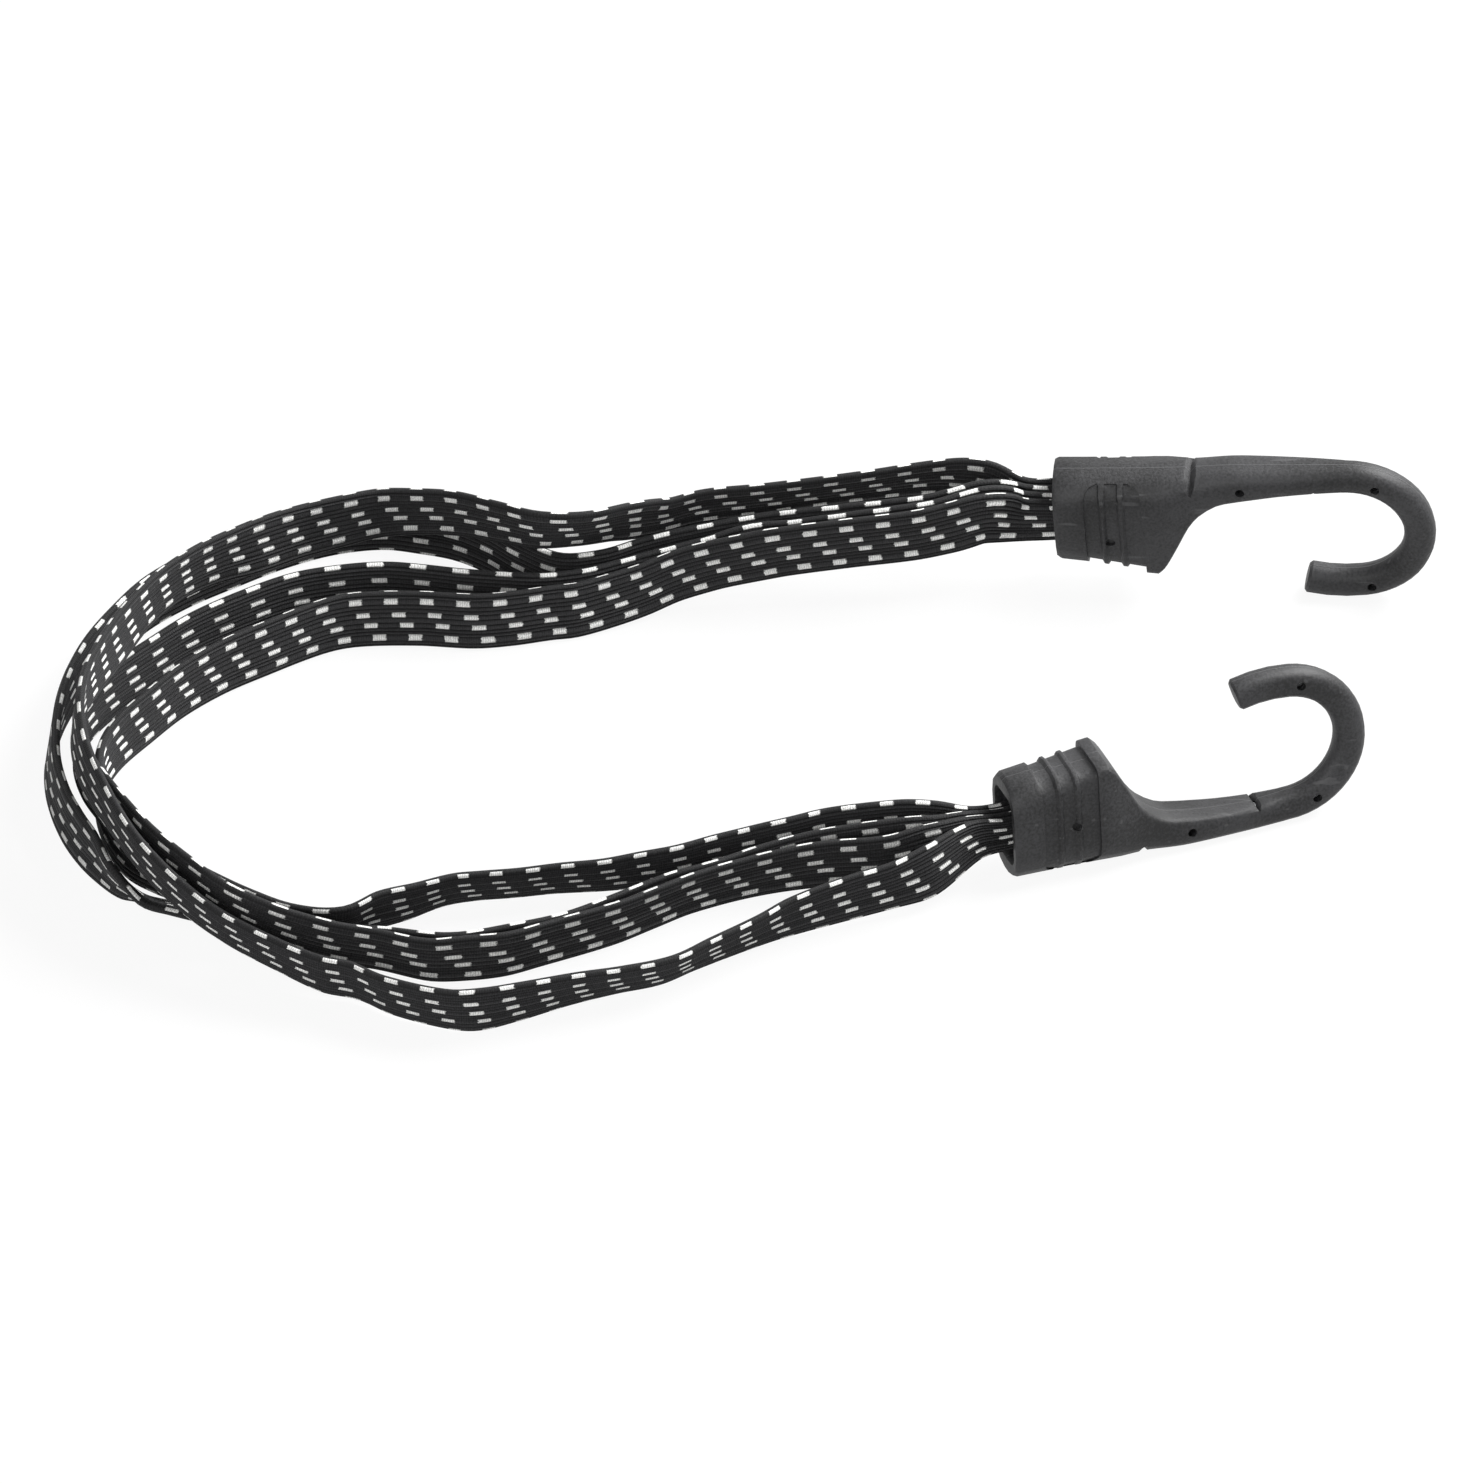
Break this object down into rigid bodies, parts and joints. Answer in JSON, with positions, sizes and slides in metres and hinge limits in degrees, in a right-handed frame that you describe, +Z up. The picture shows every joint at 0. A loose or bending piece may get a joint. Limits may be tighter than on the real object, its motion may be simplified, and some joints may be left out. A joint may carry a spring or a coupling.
{
  "type": "bungee cord",
  "caption": "Flat woven elastic bands gathered at both ends into black moulded hooks, with a light reflective fleck woven through the black bands.",
  "frame": {"origin": "bottom centre of the box round the two hooks with their cores and clamps, on the surface the cord lies on", "axes": "+Z up from that surface; +X towards the bends of the hooks, with the loop of the bands on -X; +Y from the lower hook to the upper hook"},
  "size_m": [0.3067, 0.1771, 0.038],
  "materials": {
    "hook_plastic": "fine satin, as moulded",
    "core_steel": "drawn wire",
    "clamp_steel": "zinc plated strip",
    "woven_elastic": "ribbed polyester weave with light reflective flecks",
    "rubber_thread": "plain natural rubber"
  },
  "bodies": {
    "bands": {"over_band_woven_cover": "woven_elastic", "outer_band_woven_cover": "woven_elastic", "middle_band_woven_cover": "woven_elastic", "inner_band_woven_cover": "woven_elastic", "over_band_rubber_core": "rubber_thread", "outer_band_rubber_core": "rubber_thread", "middle_band_rubber_core": "rubber_thread", "inner_band_rubber_core": "rubber_thread"},
    "upper_hook": {"upper_hook_moulding": "hook_plastic", "upper_hook_steel_core": "core_steel", "upper_band_clamp": "clamp_steel"},
    "lower_hook": {"lower_hook_moulding": "hook_plastic", "lower_hook_steel_core": "core_steel", "lower_band_clamp": "clamp_steel"}
  },
  "joints": [
    {"name": "upper_hook_pull", "type": "slide", "parent": "bands", "child": "upper_hook", "axis": [0.9939, -0.0869, 0.068], "range_m": [0, 0.25], "stiffness_N_per_m": 280},
    {"name": "lower_hook_pull", "type": "slide", "parent": "bands", "child": "lower_hook", "axis": [0.9483, 0.3173, 0], "range_m": [0, 0.25], "stiffness_N_per_m": 280}
  ]
}
